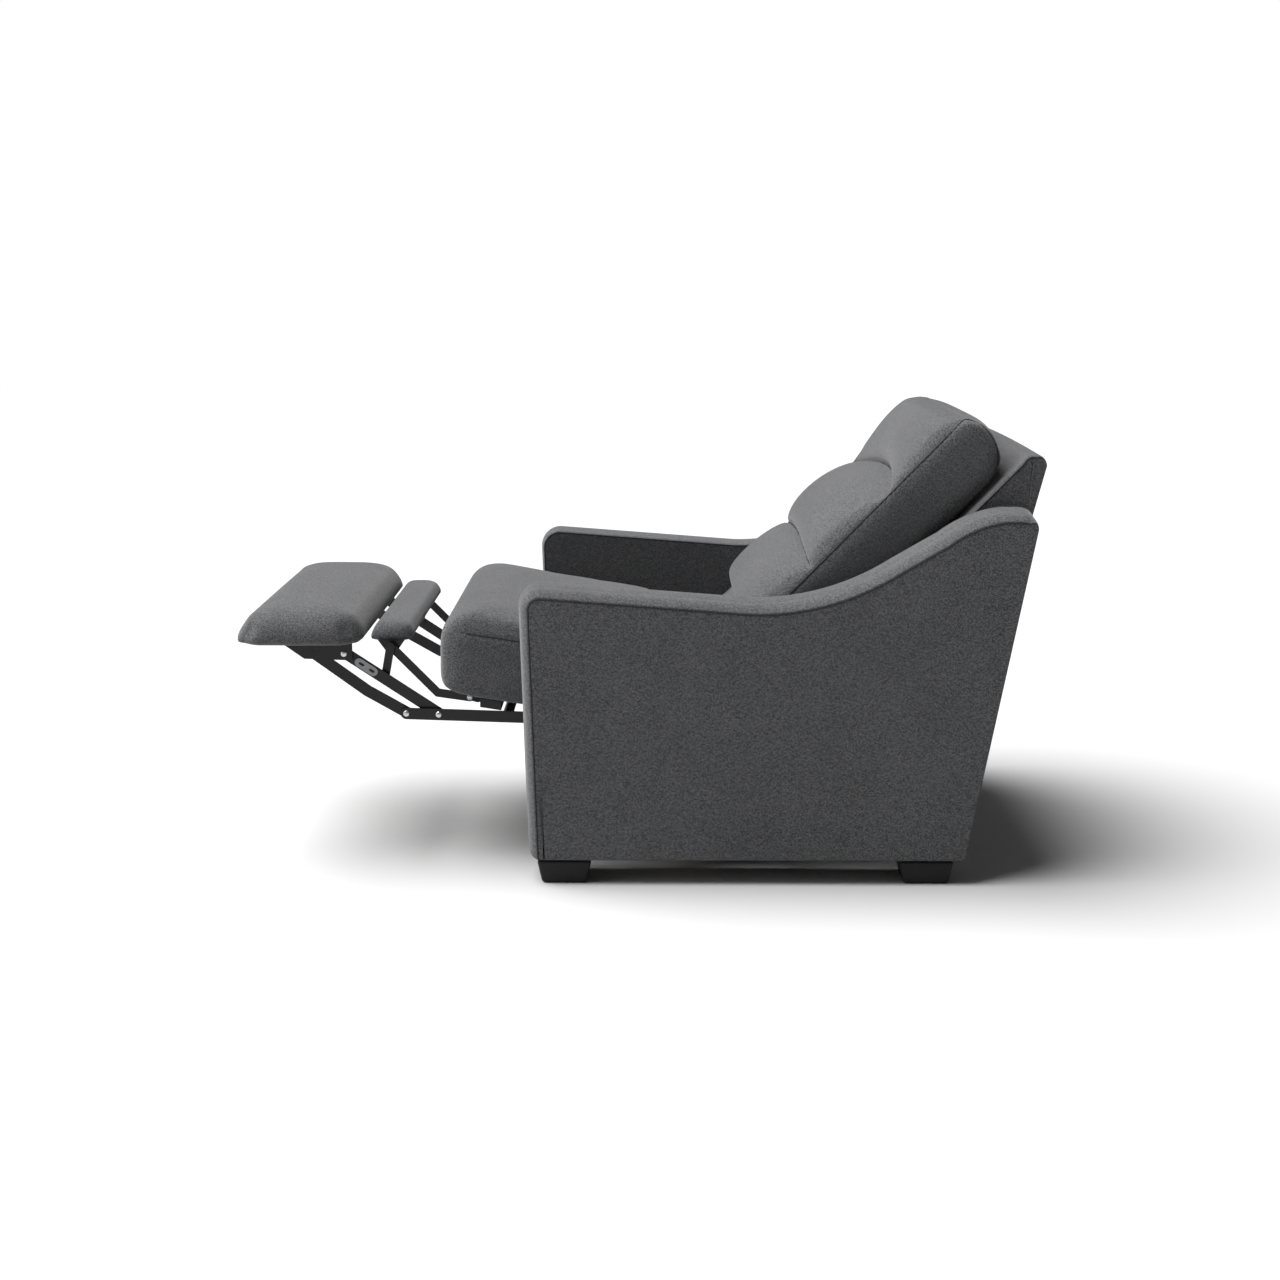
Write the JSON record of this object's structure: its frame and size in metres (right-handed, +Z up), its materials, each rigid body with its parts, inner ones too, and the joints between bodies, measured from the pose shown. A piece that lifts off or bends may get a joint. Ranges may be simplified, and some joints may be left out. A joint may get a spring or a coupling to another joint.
{
  "type": "recliner armchair",
  "caption": "Push-back recliner armchair: padded arms, three-pillow reclining back, sliding seat, and a folding footrest with a small flap on scissor links.",
  "frame": {"origin": "on the floor, midway between the arms and midway along the opened chair", "axes": "+X to the sitter's left, -Y the way the chair faces, +Z up"},
  "size_m": [0.85, 1.52, 0.8776],
  "materials": {
    "fabric": "heathered woven upholstery, mid to dark grey",
    "wood": "sawn timber and plywood, hidden by the cover",
    "steel": "satin black",
    "spring_steel": "oiled wire",
    "foot": "matt black"
  },
  "bodies": {
    "chair": {"arm_frame_left": "wood", "arm_frame_right": "wood", "arm_cover_left": "fabric", "arm_cover_right": "fabric", "back_top_rail": "wood", "back_top_pad": "fabric", "back_panel": "fabric", "base_rail_front": "wood", "base_rail_rear": "wood", "base_plate_left": "steel", "base_plate_right": "steel", "foot_front_left": "foot", "foot_front_right": "foot", "foot_rear_left": "foot", "foot_rear_right": "foot"},
    "rear_swing": {"rear_swing_left": "steel", "rear_swing_right": "steel", "rear_swing_tube": "steel"},
    "front_swing": {"front_swing_left": "steel", "front_swing_right": "steel", "front_swing_tube": "steel"},
    "seat": {"seat_plate_left": "steel", "seat_plate_right": "steel", "seat_rail_front": "steel", "seat_rail_rear": "steel", "flap_lug_left": "steel", "flap_lug_right": "steel", "seat_spring_1": "spring_steel", "seat_spring_2": "spring_steel", "seat_spring_3": "spring_steel", "seat_spring_4": "spring_steel", "seat_cushion": "fabric"},
    "backrest": {"back_bracket_left": "steel", "back_bracket_right": "steel", "back_board": "wood", "back_cushion": "fabric", "pillow_lower": "fabric", "pillow_middle": "fabric", "pillow_upper": "fabric"},
    "drive": {"drive_link_left": "steel", "drive_link_right": "steel", "drive_tube": "steel"},
    "upper_links": {"upper_link_left": "steel", "upper_link_right": "steel"},
    "lower_links": {"lower_link_left": "steel", "lower_link_right": "steel"},
    "footrest": {"rest_board": "wood", "rest_pad": "fabric", "rest_bracket_left": "steel", "rest_bracket_right": "steel"},
    "flap_arms": {"flap_arm_left": "steel", "flap_arm_right": "steel", "flap_rod": "steel"},
    "struts": {"flap_strut_left": "steel", "flap_strut_right": "steel"},
    "flap": {"flap_board": "wood", "flap_pad": "fabric", "flap_bracket_left": "steel", "flap_bracket_right": "steel"}
  },
  "joints": [
    {"name": "rear_swing_hinge", "type": "hinge", "parent": "chair", "child": "rear_swing", "pos_m": [0, 0.3, 0.085], "axis": [1, 0, 0], "range_deg": [-47, 0]},
    {"name": "front_swing_hinge", "type": "hinge", "parent": "chair", "child": "front_swing", "pos_m": [0, 0.001, 0.127], "axis": [1, 0, 0], "range_deg": [-47.02, 0]},
    {"name": "seat_hinge", "type": "hinge", "parent": "rear_swing", "child": "seat", "pos_m": [0, 0.24418, 0.21339], "axis": [1, 0, 0], "range_deg": [0, 47.02]},
    {"name": "back_hinge", "type": "hinge", "parent": "seat", "child": "backrest", "pos_m": [0, 0.32, 0.335], "axis": [1, 0, 0], "range_deg": [0, 20.02]},
    {"name": "drive_hinge", "type": "hinge", "parent": "seat", "child": "drive", "pos_m": [0, -0.18, 0.29], "axis": [1, 0, 0], "range_deg": [0, 88.02]},
    {"name": "upper_hinge", "type": "hinge", "parent": "drive", "child": "upper_links", "pos_m": [0, -0.3749, 0.29613], "axis": [1, 0, 0], "range_deg": [-113.16, 0]},
    {"name": "lower_hinge", "type": "hinge", "parent": "drive", "child": "lower_links", "pos_m": [0, -0.43687, 0.29807], "axis": [1, 0, 0], "range_deg": [-113.16, 0]},
    {"name": "footrest_hinge", "type": "hinge", "parent": "upper_links", "child": "footrest", "pos_m": [0, -0.553, 0.415], "axis": [1, 0, 0], "range_deg": [0, 113.16]},
    {"name": "flap_arm_hinge", "type": "hinge", "parent": "seat", "child": "flap_arms", "pos_m": [0, -0.317, 0.324], "axis": [1, 0, 0], "range_deg": [0, 134.72]},
    {"name": "flap_hinge", "type": "hinge", "parent": "flap_arms", "child": "flap", "pos_m": [0, -0.467, 0.424], "axis": [1, 0, 0], "range_deg": [-44.72, 0]},
    {"name": "strut_hinge", "type": "hinge", "parent": "flap_arms", "child": "struts", "pos_m": [0, -0.467, 0.424], "axis": [1, 0, 0], "range_deg": [0, 30.72]}
  ],
  "couplings": [
    {"joint": "front_swing_hinge", "follows": "rear_swing_hinge", "ratio": 1},
    {"joint": "seat_hinge", "follows": "rear_swing_hinge", "ratio": -1},
    {"joint": "back_hinge", "follows": "rear_swing_hinge", "ratio": -0.42553},
    {"joint": "drive_hinge", "follows": "rear_swing_hinge", "ratio": -1.8723},
    {"joint": "upper_hinge", "follows": "rear_swing_hinge", "ratio": 2.4072},
    {"joint": "lower_hinge", "follows": "rear_swing_hinge", "ratio": 2.4072},
    {"joint": "footrest_hinge", "follows": "rear_swing_hinge", "ratio": -2.4072},
    {"joint": "flap_arm_hinge", "follows": "rear_swing_hinge", "ratio": -2.8659},
    {"joint": "flap_hinge", "follows": "rear_swing_hinge", "ratio": 0.95105},
    {"joint": "strut_hinge", "follows": "rear_swing_hinge", "ratio": -0.6532}
  ]
}
